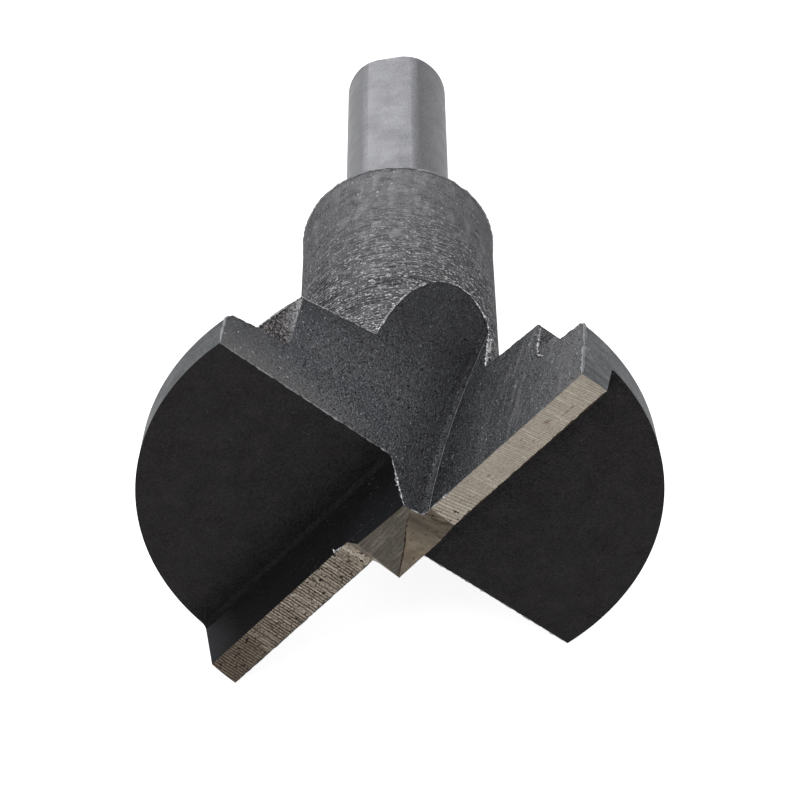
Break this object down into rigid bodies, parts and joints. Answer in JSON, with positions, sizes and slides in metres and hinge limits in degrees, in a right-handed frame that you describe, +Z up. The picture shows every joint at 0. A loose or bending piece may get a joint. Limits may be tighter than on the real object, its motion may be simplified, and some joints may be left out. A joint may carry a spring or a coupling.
{
  "type": "forstner bit",
  "caption": "One-piece steel boring bit for flat-bottomed hinge holes: round head with cutting lips and a low centre point, thick hub, plain shank with a flat.",
  "frame": {"origin": "middle of the footprint, on the surface that the bit lies on", "axes": "+Y from the head towards the shank, +Z up; the bit lies on its side with one chip gullet up, and its axis falls about 10 degrees towards the shank"},
  "size_m": [0.035, 0.0572, 0.0271],
  "materials": {
    "forstner_bit": "ground lips and shank, as-milled gullets, dark wing faces"
  },
  "bodies": {
    "root": {"forstner_bit": "forstner_bit"}
  },
  "joints": []
}
